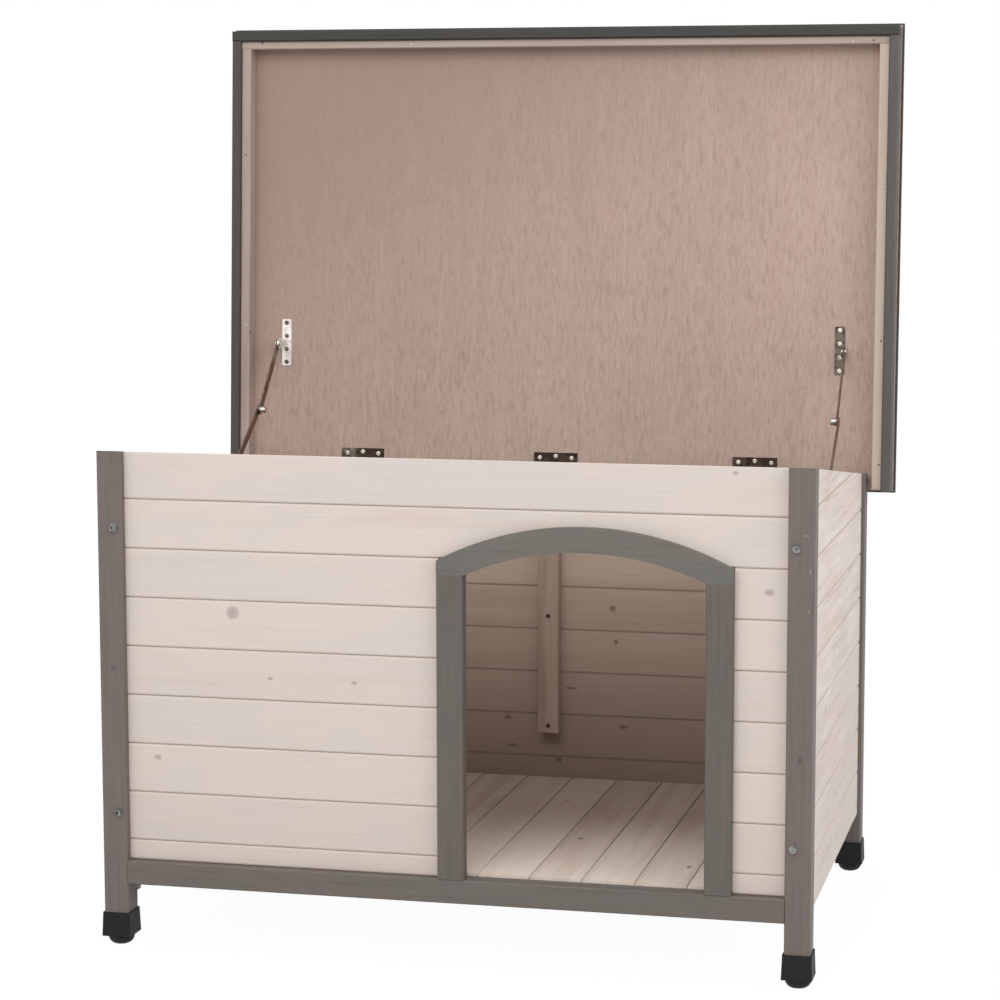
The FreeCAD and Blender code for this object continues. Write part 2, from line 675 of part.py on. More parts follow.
def drilled(shapes, holes):
    cutter = Part.makeCompound(holes)
    return [shape.cut(cutter) for shape in shapes]


def build():
    nodes = {}
    for name, (x, y) in foot_centres().items():
        nodes[name + "_post"] = [make_post(x, y)]
        nodes[name + "_foot_pad"] = [make_pad(x, y)]
    nodes["foot_caps"] = [make_cap(x, y) for x, y in foot_centres().values()]
    nodes.update(make_front())
    nodes.update(make_sides())
    nodes.update(make_back())
    nodes.update(make_floor())
    nodes["post_bolts"], nodes["bolt_washers"], nodes["barrel_nuts"] = make_bolts()
    lid = {name: [place_lid(shape) for shape in shapes] for name, shapes in make_lid().items()}
    nodes.update(lid)
    hinges, lid_holes, wall_holes = make_hinges()
    nodes.update(hinges)
    nodes["back_top_rail"] = drilled(nodes["back_top_rail"], wall_holes)
    stays, stay_lid_holes, stay_wall_holes = make_stays()
    nodes.update(stays)
    nodes["lid_panel"] = drilled(nodes["lid_panel"], lid_holes + stay_lid_holes)
    for name in ("left_side_battens", "right_side_battens"):
        nodes[name] = drilled(nodes[name], stay_wall_holes)
    nodes["batten_screws"], holes = make_centre_screws()
    nodes["back_centre_batten"] = drilled(nodes["back_centre_batten"], holes)
    return nodes


def main():
    nodes = build()
    os.makedirs("parts", exist_ok=True)
    whole = Part.makeCompound([shape for shapes in nodes.values() for shape in shapes]).BoundBox
    middle = (whole.YMin + whole.YMax) / 2
    shift = V(0, -middle, 0)
    for name, shapes in nodes.items():
        solids = [solid.translated(shift) for shape in shapes for solid in shape.Solids]
        bad = [solid for solid in solids if not solid.isValid()]
        if bad or len(solids) != len(shapes):
            print("LOOK AT", name, len(solids), "solids from", len(shapes), "and", len(bad), "not valid")
        out = solids[0] if len(solids) == 1 else Part.makeCompound(solids)
        out.exportStep(os.path.join("parts", name + ".step"))
    print(len(nodes), "nodes; box", [round(v, 2) for v in (whole.XLength, whole.YLength, whole.ZLength)])
    print("front faces of the posts at y =", round(-middle, 3))
    close = math.radians(close_angle)
    lower_turn, upper_turn, shut, shut_knee = stay_turns(close)
    pivot, foot = lid_point(lid_pivot_u, lid_pivot_v), wall_pivot()
    print("hinge pin y, z:", round(pin_y - middle, 3), round(pin_z, 3))
    print("upper pivot:", round(pivot[0] - middle, 3), round(pivot[1], 3))
    print("wall pivot:", round(foot[0] - middle, 3), round(foot[1], 3))
    print("ratios lower, upper:", round(lower_turn / close, 5), round(upper_turn / close, 5))
    print("shut: pivot", [round(v, 1) for v in shut], "knee", [round(v, 1) for v in shut_knee])


main()
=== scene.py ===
import bpy
import math
import numpy as np
from mathutils import Matrix, Vector


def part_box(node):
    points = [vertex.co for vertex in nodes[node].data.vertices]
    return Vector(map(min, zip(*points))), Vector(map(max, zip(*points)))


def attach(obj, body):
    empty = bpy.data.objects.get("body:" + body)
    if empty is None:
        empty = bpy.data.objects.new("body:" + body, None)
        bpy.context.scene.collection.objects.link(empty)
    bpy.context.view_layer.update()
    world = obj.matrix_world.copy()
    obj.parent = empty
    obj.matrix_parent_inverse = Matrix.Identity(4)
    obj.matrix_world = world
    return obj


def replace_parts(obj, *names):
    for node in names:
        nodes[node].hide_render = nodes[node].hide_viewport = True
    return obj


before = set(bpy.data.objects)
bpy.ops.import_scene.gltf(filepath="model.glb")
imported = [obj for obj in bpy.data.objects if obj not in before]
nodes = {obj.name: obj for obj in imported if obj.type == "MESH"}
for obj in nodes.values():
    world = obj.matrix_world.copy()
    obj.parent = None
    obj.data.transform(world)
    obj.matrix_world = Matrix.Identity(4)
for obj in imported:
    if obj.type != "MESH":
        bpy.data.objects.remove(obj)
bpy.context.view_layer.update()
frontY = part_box("front_left_post")[0].y          # front faces of the posts
print("frame loaded:", len(nodes), "pieces")


def paint(r, g, b):                              # a colour as a paint chart gives it, 0 to 255
    def straight(v):
        v = v / 255
        return v / 12.92 if v <= 0.04045 else ((v + 0.055) / 1.055) ** 2.4
    return (straight(r), straight(g), straight(b), 1.0)


def place(x, y, z):                              # millimetres from the middle of the front, to metres
    return Vector((x / 1000, frontY + y / 1000, z / 1000))


# Camera: the turn is heading, pitch and roll in radians
camera = {"place": (869.2, -3115.5, 1001.0), "turn": (-0.2024728, -0.1095960, 0.0035796),
          "lens": 90.747, "sensor": 36, "shift": (-0.12, -0.02), "clip": (0.05, 50)}


def makeCamera():
    heading, pitch, roll = camera["turn"]
    level = math.cos(pitch)
    ahead = Vector((math.sin(heading) * level, math.cos(heading) * level, math.sin(pitch)))
    right = Vector((math.cos(heading), -math.sin(heading), 0))
    up = right.cross(ahead)
    across = right * math.cos(roll) + up * math.sin(roll)
    above = up * math.cos(roll) - right * math.sin(roll)
    turned = Matrix((across, above, -ahead)).transposed().to_4x4()
    data = bpy.data.cameras.new("camera")
    data.sensor_width = camera["sensor"]
    data.lens = camera["lens"]
    data.shift_x, data.shift_y = camera["shift"]
    data.clip_start, data.clip_end = camera["clip"]
    eye = bpy.data.objects.new("camera", data)
    eye.matrix_world = Matrix.Translation(place(*camera["place"])) @ turned
    bpy.context.scene.collection.objects.link(eye)
    bpy.context.scene.camera = eye


makeCamera()


class Signal:                                    # what comes out of a node, ready for sums
    def __init__(self, finish, socket):
        self.finish, self.socket = finish, socket

    def maths(self, operation, other=None, swap=False):
        pair = (other, self) if swap else (self, other)
        given = {i: v for i, v in enumerate(pair) if v is not None}
        return self.finish.node("ShaderNodeMath", {"operation": operation}, given)

    def __add__(self, other):
        return self.maths("ADD", other)

    def __sub__(self, other):
        return self.maths("SUBTRACT", other)

    def __rsub__(self, other):
        return self.maths("SUBTRACT", other, True)

    def __mul__(self, other):
        return self.maths("MULTIPLY", other)

    def __truediv__(self, other):
        return self.maths("DIVIDE", other)

    def __rtruediv__(self, other):
        return self.maths("DIVIDE", other, True)

    __radd__ = __add__
    __rmul__ = __mul__


class Finish:                                    # a material, or the world, while it is being put together
    def __init__(self, name, shelf=bpy.data.materials):
        self.owner = shelf.new(name)
        self.owner.use_nodes = True
        self.tree = self.owner.node_tree
        self.tree.nodes.clear()
        self.spot = self.node("ShaderNodeTexCoord", out=3)
        split = self.node("ShaderNodeSeparateXYZ", values={0: self.spot}).socket.node
        self.xyz = [Signal(self, end) for end in split.outputs]

    def node(self, kind, settings=None, values=None, out=0):
        made = self.tree.nodes.new(kind)
        for key, setting in (settings or {}).items():
            setattr(made, key, setting)
        for key, value in (values or {}).items():
            if isinstance(value, Signal):
                self.tree.links.new(value.socket, made.inputs[key])
            else:
                made.inputs[key].default_value = value
        return Signal(self, made.outputs[out]) if made.outputs else None

    def ramp(self, value, low, high):            # 0 below low, 1 above high, smooth between
        return self.node("ShaderNodeMapRange", {"interpolation_type": "SMOOTHSTEP"},
                         {0: value, 1: low, 2: high, 3: 0.0, 4: 1.0})

    def blend(self, share, first, second):       # the first colour at a share of 0, the second at 1
        return self.node("ShaderNodeMix", {"data_type": "RGBA"}, {0: share, 6: first, 7: second}, 2)

    def cloud(self, scales, shift=None, detail=3.0, rough=0.5):   # noise, so many blots a metre each way
        parts = [end * s for end, s in zip(self.xyz, scales)]
        if shift is not None:
            parts = [part + shift for part in parts]
        joined = self.node("ShaderNodeCombineXYZ", values=dict(enumerate(parts)))
        return self.node("ShaderNodeTexNoise", values={"Vector": joined, "Scale": 1.0,
                                                       "Detail": detail, "Roughness": rough})

    def dice(self, value):                       # a number from 0 to 1 that depends on value alone
        return self.node("ShaderNodeTexWhiteNoise", {"noise_dimensions": "1D"}, {"W": value})

    # How far from the nearest mark: 0 in its middle, 1 at its rim, a little uneven.
    # A mark is x, y, z and its half widths along them, in millimetres
    def reach(self, marks):
        nearest = None
        for x, y, z, a, b, c in marks:
            away = self.node("ShaderNodeVectorMath", {"operation": "SUBTRACT"},
                             {0: self.spot, 1: tuple(place(x, y, z))})
            away = self.node("ShaderNodeVectorMath", {"operation": "MULTIPLY"},
                             {0: away, 1: (1000 / a, 1000 / b, 1000 / c)})
            far = self.node("ShaderNodeVectorMath", {"operation": "LENGTH"}, {0: away}, 1)
            nearest = far if nearest is None else nearest.maths("MINIMUM", far)
        return nearest + self.cloud((260, 260, 260), None, 2.0) * 0.5 - 0.25

    def inside(self, far):                       # 1 in the middle of a mark, fading to 0 at its rim
        return 1 - self.ramp(far, 0.3, 1.0)

    def close(self, colour, rough, height, depth, fixed=None):
        bump = self.node("ShaderNodeBump", values={"Height": height, "Distance": depth, "Strength": 1.0})
        values = {"Base Color": colour, "Roughness": rough, "Normal": bump}
        values.update(fixed or {})
        shader = self.node("ShaderNodeBsdfPrincipled", values=values)
        self.node("ShaderNodeOutputMaterial", values={0: shader})
        return self.owner


def along(axis, lengthwise, crosswise):          # blots a metre with the grain along one axis
    return [lengthwise if i == axis else crosswise for i in range(3)]


def cover(material, *names):
    for name in names:
        for slot in nodes[name].material_slots:
            slot.material = material


# Boards: joints every 66 mm, white-washed outside and bare pine inside
boards = {"pitch": 0.066, "frontJoint": 0.1455, "joint0": 0.088,   # the lowest joint, in front and elsewhere
          "frontMiddle": 0.0178, "backMiddle": 0.604, "sideMiddle": 0.4679,   # half way through each wall
          "brushing": 0.75,                      # how far the strokes, partly a painted sheen, show on the sides
          "wash": paint(225, 212, 203), "washWarm": paint(213, 195, 182),
          "washCool": paint(211, 205, 200), "washPink": paint(222, 205, 197),
          "washShadedLow": paint(205, 192, 183),       # painted shade outside, near the ground
          # the thick wash is also a painted sheen on the side boards
          "washThickAndSheen": paint(232, 226, 221), "washThin": paint(198, 184, 173),
          "bare": paint(186, 165, 150), "bareDark": paint(168, 145, 129),
          "shadedLow": paint(126, 106, 91),           # painted shade inside, near the floor
          "joint": paint(206, 190, 178), "jointDark": paint(94, 76, 64),
          "knot": paint(176, 160, 154), "knotRim": paint(158, 140, 132), "knotDark": paint(92, 70, 57)}
frontKnots = [(-295.6, 12, 459.2, 10, 10, 10), (-403.9, 12, 259.8, 6, 9, 4), (-128.7, 12, 372.1, 5, 9, 3),
              (-244.7, 12, 373.2, 5, 9, 2.5), (376, 12, 662.4, 4, 9, 3), (420.8, 12, 511.3, 7, 9, 5)]
backKnots = [(96.4, 598, 386.8, 7, 9, 7), (101.6, 598, 335.3, 5, 9, 5), (30.7, 598, 261.1, 13, 9, 3),
             (-68.2, 598, 211.5, 9, 9, 5), (112.9, 598, 204.1, 12, 9, 4), (12.6, 598, 147.8, 7, 9, 7),
             (-60.3, 598, 167.9, 9, 9, 4), (-250, 598, 330, 8, 9, 7), (-330, 598, 470, 7, 9, 6),
             (250, 598, 450, 8, 9, 6), (330, 598, 250, 9, 9, 6)]
sideKnots = [(478, 180, 330, 9, 8, 8), (478, 420, 455, 9, 7, 6), (478, 300, 190, 9, 9, 6),
             (-478, 200, 400, 9, 8, 8), (-478, 430, 260, 9, 8, 5), (-478, 320, 520, 9, 6, 5)]


def washOutside(f, tone, streaks, fibres, patches):
    colour = f.blend(f.ramp(patches + tone * 0.3, 0.52, 0.85) * 0.7, boards["wash"], boards["washCool"])
    colour = f.blend(f.ramp(patches - tone * 0.3, 0.42, 0.2) * 0.6, colour, boards["washPink"])
    colour = f.blend(f.ramp(streaks, 0.52, 0.78) * 0.7, colour, boards["washWarm"])
    return f.blend(f.ramp(fibres, 0.5, 0.85) * 0.3, colour, boards["washWarm"])


def brushOut(f, colour, axis, jump, share):      # thick and thin strokes, so that the grain stands out; the pale strokes are also a painted varnish sheen
    strokes = f.cloud(along(axis, 5, 75), jump, 4.0, 0.65)
    colour = f.blend(f.ramp(strokes, 0.5, 0.68) * share, colour, boards["washThickAndSheen"])
    return f.blend(f.ramp(strokes, 0.47, 0.3) * share, colour, boards["washThin"])


def bareInside(f, tone, streaks, fibres, low):
    darker = f.ramp(streaks + tone * 0.3 - 0.15, 0.36, 0.76) * 0.75
    colour = f.blend(darker, boards["bare"], boards["bareDark"])
    colour = f.blend(f.ramp(fibres, 0.45, 0.8) * 0.25, colour, boards["bareDark"])
    # painted shade, darker towards the floor
    colour = f.blend(low * 0.95, colour, boards["shadedLow"])
    return f.blend(tone * low * 0.25, colour, boards["shadedLow"])


# inwards gives how far a point is behind the middle of the wall
def boardFinish(name, axis, firstJoint, inwards, marks, seed, brushing=0.0):
    f = Finish(name)
    row = (f.xyz[2] - firstJoint) / boards["pitch"]
    number = row.maths("FLOOR") + seed           # every row has a grain of its own
    tone, jump = f.dice(number), number * 3.17
    streaks = f.cloud(along(axis, 2.2, 34), jump, 4.0, 0.6)
    fibres = f.cloud(along(axis, 16, 620), jump, 2.0, 0.6)
    patches = f.cloud(along(axis, 4, 9), jump, 2.0)
    # painted shade: the boards darken towards the bottom, inside and out
    low = 1 - f.ramp(f.xyz[2], 0.06, 0.47)
    outside = washOutside(f, tone, streaks, fibres, patches)
    if brushing:
        outside = brushOut(f, outside, axis, jump, brushing)
    outside = f.blend(low * 0.4, outside, boards["washShadedLow"])
    inside = bareInside(f, tone, streaks, fibres, low)
    far = f.reach(marks)
    knots = f.inside(far)
    rim = f.ramp(far, 0.45, 0.75) * (1 - f.ramp(far, 0.8, 1.0))
    outside = f.blend(knots * 0.85, outside, boards["knot"])
    outside = f.blend(rim * 0.35, outside, boards["knotRim"])
    inside = f.blend(knots * 0.7, inside, boards["knotDark"])
    part = row.maths("FRACT")
    edge = 1 - f.ramp(part.maths("MINIMUM", 1 - part), 0.006, 0.04)
    outside = f.blend(edge * 0.8, outside, boards["joint"])
    inside = f.blend(edge * 0.6, inside, boards["jointDark"])
    colour = f.blend(f.ramp(inwards(f), -0.001, 0.001), outside, inside)
    return f.close(colour, 0.48 + fibres * 0.25, fibres * 0.5 + streaks, 0.0006)


def dressBoards():
    frontMiddle, backMiddle = frontY + boards["frontMiddle"], frontY + boards["backMiddle"]
    front = boardFinish("whiteWashFront", 0, boards["frontJoint"],
                        lambda f: f.xyz[1] - frontMiddle, frontKnots, 3.0)
    back = boardFinish("whiteWashBack", 0, boards["joint0"],
                       lambda f: backMiddle - f.xyz[1], backKnots, 21.0)
    sides = boardFinish("whiteWashSides", 1, boards["joint0"],
                        lambda f: boards["sideMiddle"] - f.xyz[0].maths("ABSOLUTE"),
                        sideKnots, 40.0, boards["brushing"])
    cover(front, "front_top_board", "front_arch_board", "front_left_boards", "front_right_boards")
    cover(back, "back_boards")
    cover(sides, "left_side_boards", "right_side_boards")


dressBoards()
print("boards dressed")

# Grey glazed timber: posts, rails, doorway frame and the lid's trims
glaze = {"posts": (116, 104, 99), "rails": (110, 101, 95), "uprights": (104, 95, 89), "arch": (112, 106, 100),
         # the lid's trims are one grey with painted shade: darker on the left and front, lighter on the right
         "leftTrimShade": (75, 66, 61), "rightTrimShade": (87, 83, 79), "frontTrimShade": (54, 51, 47),
         "mark": (66, 59, 55), "chip": (170, 160, 150),
         # the next three are shares of a colour's red, green and blue
         "cool": (0.95, 0.99, 0.99), "dark": (0.78, 0.77, 0.76), "pale": (1.12, 1.11, 1.11)}
glazeMarks = [(-460, 0, 381, 5, 8, 7), (262, 0, 98.7, 6, 8, 3), (463, 0, 300, 4, 8, 9)]
chips = [(469.1, 0, 586.6, 4.5, 3, 1.4), (474.1, 0, 541.2, 1.6, 3, 5), (472.8, 0, 490.3, 1.4, 3, 4)]


def glazeFinish(name, axis, coolness, seed):
    f = Finish(name)
    grey = paint(*glaze[name])
    cool, dark, pale = [paint(*(v * share for v, share in zip(glaze[name], glaze[tint])))
                        for tint in ("cool", "dark", "pale")]
    shift = seed * 1.7
    patches = f.cloud(along(axis, 5, 26), shift, 3.0)
    streaks = f.cloud(along(axis, 7, 190), shift, 4.0, 0.62)
    fibres = f.cloud(along(axis, 40, 1300), shift, 2.0, 0.6)
    colour = f.blend(f.ramp(patches, 0.4, 0.6) * coolness, grey, cool)
    colour = f.blend(f.ramp(streaks, 0.5, 0.75) * 0.45, colour, dark)
    colour = f.blend(f.ramp(streaks, 0.46, 0.28) * 0.3, colour, pale)
    colour = f.blend(f.ramp(fibres, 0.45, 0.8) * 0.2, colour, dark)
    if name == "posts":
        colour = f.blend(f.inside(f.reach(glazeMarks)) * 0.5, colour, paint(*glaze["mark"]))
        colour = f.blend(f.inside(f.reach(chips)) * 0.55, colour, paint(*glaze["chip"]))
    return f.close(colour, 0.5 + fibres * 0.2, streaks + fibres * 0.5, 0.0005)


def dressTimber():
    cover(glazeFinish("posts", 2, 0.8, 1), "front_left_post", "front_right_post",
          "back_left_post", "back_right_post")
    cover(glazeFinish("rails", 0, 0.8, 2), "front_base_rail", "back_base_rail", "back_top_rail")
    cover(glazeFinish("uprights", 2, 0.9, 3), "door_left_upright", "door_right_upright")
    cover(glazeFinish("arch", 0, 0.9, 4), "door_arch")
    cover(glazeFinish("leftTrimShade", 2, 0.5, 5), "lid_left_trim")
    cover(glazeFinish("rightTrimShade", 2, 0.7, 7), "lid_right_trim")
    cover(glazeFinish("frontTrimShade", 0, 0.6, 6), "lid_front_trim")


dressTimber()
print("timber glazed")

# Bare and pale pine: floor, battens, the strips inside the lid
# the floor: pale with painted light in front, darker with painted shade at the back
pine = {"floor": (paint(231, 217, 206), paint(214, 198, 185)),
        "floorShadedBack": (paint(158, 141, 129), paint(143, 125, 112)),
        "floorPitch": 0.0703, "floorFirst": -0.458,
        "floorShadeFade": (0.02, 0.42),                    # where painted shade darkens the floor, behind the front of the posts
        "batten": (paint(167, 145, 131), paint(147, 124, 109)),
        # the lid's strips are one pine, each with its own painted shade, darkest on the left and front
        "leftStripShade": (paint(178, 159, 150), paint(161, 142, 130)),
        "rightStripShade": (paint(200, 182, 167), paint(182, 162, 146)),
        "frontStripShade": (paint(182, 165, 154), paint(165, 147, 135)), "knot": paint(112, 90, 76)}
floorKnots = [(141.5, 358, 121.6, 5, 8, 9), (127.2, 234.5, 121.6, 6, 9, 9), (301.2, 117.8, 121.6, 5, 9, 9),
              (60, 450, 121.6, 5, 9, 9), (-200, 300, 121.6, 6, 9, 9), (-330, 150, 121.6, 5, 8, 9)]


def pineFinish(name, axis, seed, marks=None):
    f = Finish("pine_" + name)
    pale, dark = pine[name]
    shift = seed * 2.3
    tone = 0.0
    if name == "floor":                          # a grain of its own for each board; painted light in front, painted shade towards the back
        number = ((f.xyz[0] - pine["floorFirst"]) / pine["floorPitch"]).maths("FLOOR") + seed
        shift = number * 2.9
        tone = f.dice(number) * 0.16 - 0.08
        back = f.ramp(f.xyz[1], frontY + pine["floorShadeFade"][0], frontY + pine["floorShadeFade"][1])
        pale, dark = [f.blend(back, *pair) for pair in zip(pine["floor"], pine["floorShadedBack"])]
    streaks = f.cloud(along(axis, 2.5, 55), shift, 4.0, 0.6)
    fibres = f.cloud(along(axis, 20, 800), shift, 2.0, 0.6)
    colour = f.blend(f.ramp(streaks + tone, 0.42, 0.75), pale, dark)
    colour = f.blend(f.ramp(fibres, 0.5, 0.85) * 0.3, colour, dark)
    if marks:
        colour = f.blend(f.inside(f.reach(marks)) * 0.75, colour, pine["knot"])
    return f.close(colour, 0.55 + fibres * 0.2, streaks + fibres * 0.5, 0.0005)


def dressPine():
    cover(pineFinish("floor", 1, 5, floorKnots), "floor_boards")
    cover(pineFinish("batten", 2, 6), "front_inner_battens", "left_side_battens", "right_side_battens",
          "back_centre_batten", "back_end_battens")
    cover(pineFinish("batten", 0, 7), "floor_bearers")
    cover(pineFinish("leftStripShade", 2, 8), "lid_left_strip")
    cover(pineFinish("rightStripShade", 2, 10), "lid_right_strip")
    cover(pineFinish("frontStripShade", 0, 9), "lid_front_strip")


dressPine()

# Plywood: upright grain, fine soft mottling, rose and greyish patches, painted shade towards the top left
ply = {"rose": paint(190, 163, 150), "grey": paint(183, 161, 148), "pale": paint(205, 184, 171),
       "dullAndShade": paint(156, 131, 118), "pore": paint(140, 114, 101), "edge": paint(87, 83, 79),
       "corner": (0.72, 1.45), "cornerTilt": 0.62}


def sideEdges(f, half):                          # 1 on the two faces at x = -half and x = half
    return f.ramp(f.xyz[0].maths("ABSOLUTE"), half - 0.0005, half - 0.0002)


def plyFinish():
    f = Finish("plywood")
    clouds = f.cloud((9, 9, 5), None, 3.0, 0.55)
    bands = f.cloud((60, 60, 4), clouds * 1.5, 3.0, 0.6)
    mottle = f.cloud((190, 190, 45), clouds * 2.0, 3.0, 0.6)
    speckle = f.cloud((420, 420, 70), clouds * 2.0, 2.0, 0.6)
    fibres = f.cloud((700, 700, 55), clouds * 2.0, 2.0, 0.6)
    colour = f.blend(f.ramp(clouds, 0.36, 0.64), ply["rose"], ply["grey"])
    colour = f.blend(f.ramp(bands, 0.45, 0.75) * 0.35, colour, ply["pale"])
    colour = f.blend(f.ramp(mottle, 0.46, 0.7) * 0.45, colour, ply["dullAndShade"])
    colour = f.blend(f.ramp(speckle, 0.5, 0.72) * 0.4, colour, ply["pale"])
    colour = f.blend(f.ramp(fibres, 0.5, 0.8) * 0.36, colour, ply["pore"])
    # painted shade, darker towards the top left; the dull colour serves both the mottling and this shade
    corner = f.ramp(f.xyz[2] - f.xyz[0] * ply["cornerTilt"], *ply["corner"])
    colour = f.blend(corner * 0.85, colour, ply["dullAndShade"])
    colour = f.blend(sideEdges(f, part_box("lid_panel")[1].x), colour, ply["edge"])   # glazed with the trims
    return f.close(colour, 0.62 + mottle * 0.12, fibres + mottle, 0.0002)


cover(plyFinish(), "lid_panel")
print("pine and plywood dressed")

# Felt: fine mineral grit on bitumen
felt = {"grit": paint(92, 94, 94), "dark": paint(44, 45, 46), "pale": paint(140, 142, 140),
        "edge": paint(80, 78, 75)}


def feltFinish():
    f = Finish("roofingFelt")
    grit = f.cloud((1500, 1500, 1500), None, 1.0)
    clouds = f.cloud((12, 12, 12), None, 3.0)
    mottle = f.cloud((230, 230, 230), None, 3.0, 0.65)
    colour = f.blend(f.ramp(grit, 0.35, 0.65), felt["dark"], felt["grit"])
    colour = f.blend(f.ramp(grit, 0.62, 0.7), colour, felt["pale"])
    colour = f.blend(f.ramp(mottle, 0.45, 0.75) * 0.3, colour, felt["dark"])
    colour = f.blend(f.ramp(mottle, 0.42, 0.25) * 0.25, colour, felt["pale"])
    colour = f.blend(f.ramp(clouds, 0.5, 0.8) * 0.3, colour, felt["dark"])
    colour = f.blend(sideEdges(f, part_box("roofing_felt")[1].x), colour, felt["edge"])
    return f.close(colour, 0.8 + grit * 0.15, grit, 0.0006)


cover(feltFinish(), "roofing_felt")

# Plastic feet
plastic = {"black": paint(20, 19, 20), "scuffed": paint(34, 33, 33)}


def plasticFinish():
    f = Finish("blackPlastic")
    grain = f.cloud((700, 700, 700), None, 2.0)
    scuffs = f.cloud((60, 60, 20), None, 4.0, 0.65)
    colour = f.blend(f.ramp(scuffs, 0.56, 0.75) * 0.7, plastic["black"], plastic["scuffed"])
    return f.close(colour, 0.45 + scuffs * 0.3, grain, 0.0002, {"Specular IOR Level": 0.3})


cover(plasticFinish(), "foot_caps", "front_left_foot_pad", "front_right_foot_pad",
      "back_left_foot_pad", "back_right_foot_pad")

# Metal: bright zinc, and browned steel. Each has a clean colour and a worn one
metal = {"zinc": (paint(198, 196, 190), paint(152, 150, 144)),
         "bolt": (paint(158, 160, 158), paint(104, 106, 106)),
         # the stay plates are one zinc, with a painted bright reflection on the left and a painted dark
         # reflection on the right
         "plateBrightReflection": (paint(246, 240, 232), paint(214, 206, 196)),
         "plateDarkReflection": (paint(122, 112, 98), paint(72, 64, 55)),
         "paleLeaf": (paint(164, 156, 142), paint(92, 82, 72)),
         "darkLeaf": (paint(96, 83, 72), paint(60, 51, 45)),
         "leafSwap": -0.32,                      # the left hinge is the pale one
         "link": (paint(130, 108, 96), paint(98, 80, 70)),
         "brownHead": (paint(84, 68, 58), paint(58, 46, 39)),
         "darkHead": (paint(112, 103, 96), paint(80, 72, 66)),
         "paleHead": (paint(226, 221, 210), paint(188, 182, 172))}


def metalFinish(name, left, right, rough, swapAt=0.0):   # one metal left of swapAt, another right of it
    f = Finish(name)
    clouds = f.cloud((90, 90, 90), None, 4.0, 0.6)
    scratches = f.cloud((1200, 1200, 150), None, 2.0)
    side = f.ramp(f.xyz[0], swapAt - 0.005, swapAt + 0.005)
    worn = f.ramp(clouds, 0.42, 0.68)
    colours = [f.blend(worn, *metal[pair]) for pair in (left, right)]
    return f.close(f.blend(side, *colours), rough + clouds * 0.18, scratches, 0.00008, {"Metallic": 1.0})


zinc = metalFinish("zinc", "zinc", "zinc", 0.2)
cover(zinc, "hinge_pins", "stay_lid_rivets", "stay_wall_rivets", "left_knee_rivet", "right_knee_rivet")
cover(metalFinish("boltSteel", "bolt", "bolt", 0.24), "post_bolts", "bolt_washers", "barrel_nuts")
cover(metalFinish("stayPlates", "plateBrightReflection", "plateDarkReflection", 0.25), "stay_lid_brackets", "stay_wall_plates")
cover(metalFinish("hingeLeaves", "paleLeaf", "darkLeaf", 0.25, metal["leafSwap"]),
      "hinge_lid_leaves", "hinge_wall_leaves")
cover(metalFinish("linkSteel", "link", "link", 0.3), "left_upper_link", "left_lower_link",
      "right_upper_link", "right_lower_link")
print("felt, plastic and metal dressed")

# Screws and nails, in shares of the head's radius
headShape = {"centre": 0.03, "neck": 0.45, "sink": 0.9, "lip": 0.1, "fullness": 1.08,
             "barHalf": 0.17, "barReach": 0.62, "barSlope": (0.05, 0.08)}


# A head is a disc that rises as the square root of its fullness minus its radius squared,
# pressed in along two crossing bars; below its rim it narrows to a short neck in the wood
def headGrid(centres, outs, radius, rise, recess, rings=12, spokes=32):
    full = headShape["fullness"]
    s = np.concatenate([np.linspace(headShape["centre"], 1.0, rings), [1.0, headShape["neck"]]])
    turn = np.linspace(0, 2 * np.pi, spokes, endpoint=False)
    ring, spoke = np.meshgrid(s, turn, indexing="ij")
    px, py = radius * ring * np.cos(spoke), radius * ring * np.sin(spoke)
    high = rise * np.sqrt(np.clip(full - ring ** 2, 0, None)) / math.sqrt(full)
    near = np.minimum(np.abs(px), np.abs(py)) / radius
    across, lengthwise = headShape["barSlope"]
    bar = np.clip((headShape["barHalf"] - near) / across, 0, 1)
    bar = bar * np.clip((headShape["barReach"] - ring) / lengthwise, 0, 1)
    high = high - recess * bar
    high[-2], high[-1] = -headShape["lip"] * radius, -headShape["sink"] * radius
    out = np.array(outs, float)
    out /= np.linalg.norm(out, axis=1, keepdims=True)
    side = np.cross(out, (1.0, 0.0, 0.0))
    weak = np.linalg.norm(side, axis=1) < 0.1
    side[weak] = np.cross(out[weak], (0.0, 0.0, 1.0))
    side /= np.linalg.norm(side, axis=1, keepdims=True)
    other = np.cross(out, side)
    centres = np.array(centres, float)
    return (centres[:, None, None] + px[None, ..., None] * side[:, None, None]
            + py[None, ..., None] * other[:, None, None] + high[None, ..., None] * out[:, None, None])


# Corner i of a ring joins corner i + 1 and the same two of the next ring; a cap closes either end
def headMesh(name, points, body, material):
    count, rows, cols = points.shape[:3]
    index = np.arange(count * rows * cols).reshape(count, rows, cols)
    after = np.roll(index, -1, axis=2)
    quads = np.stack([index[:, :-1], index[:, 1:], after[:, 1:], after[:, :-1]], axis=-1).reshape(-1, 4)
    caps = index[:, 0].tolist() + index[:, -1, ::-1].tolist()
    mesh = bpy.data.meshes.new(name)
    mesh.from_pydata(points.reshape(-1, 3).tolist(), [], quads.tolist() + caps)
    mesh.update()
    mesh.polygons.foreach_set("use_smooth", np.ones(len(mesh.polygons), bool))
    mesh.materials.append(material)
    piece = bpy.data.objects.new(name, mesh)
    bpy.context.scene.collection.objects.link(piece)
    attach(piece, body)
    return piece


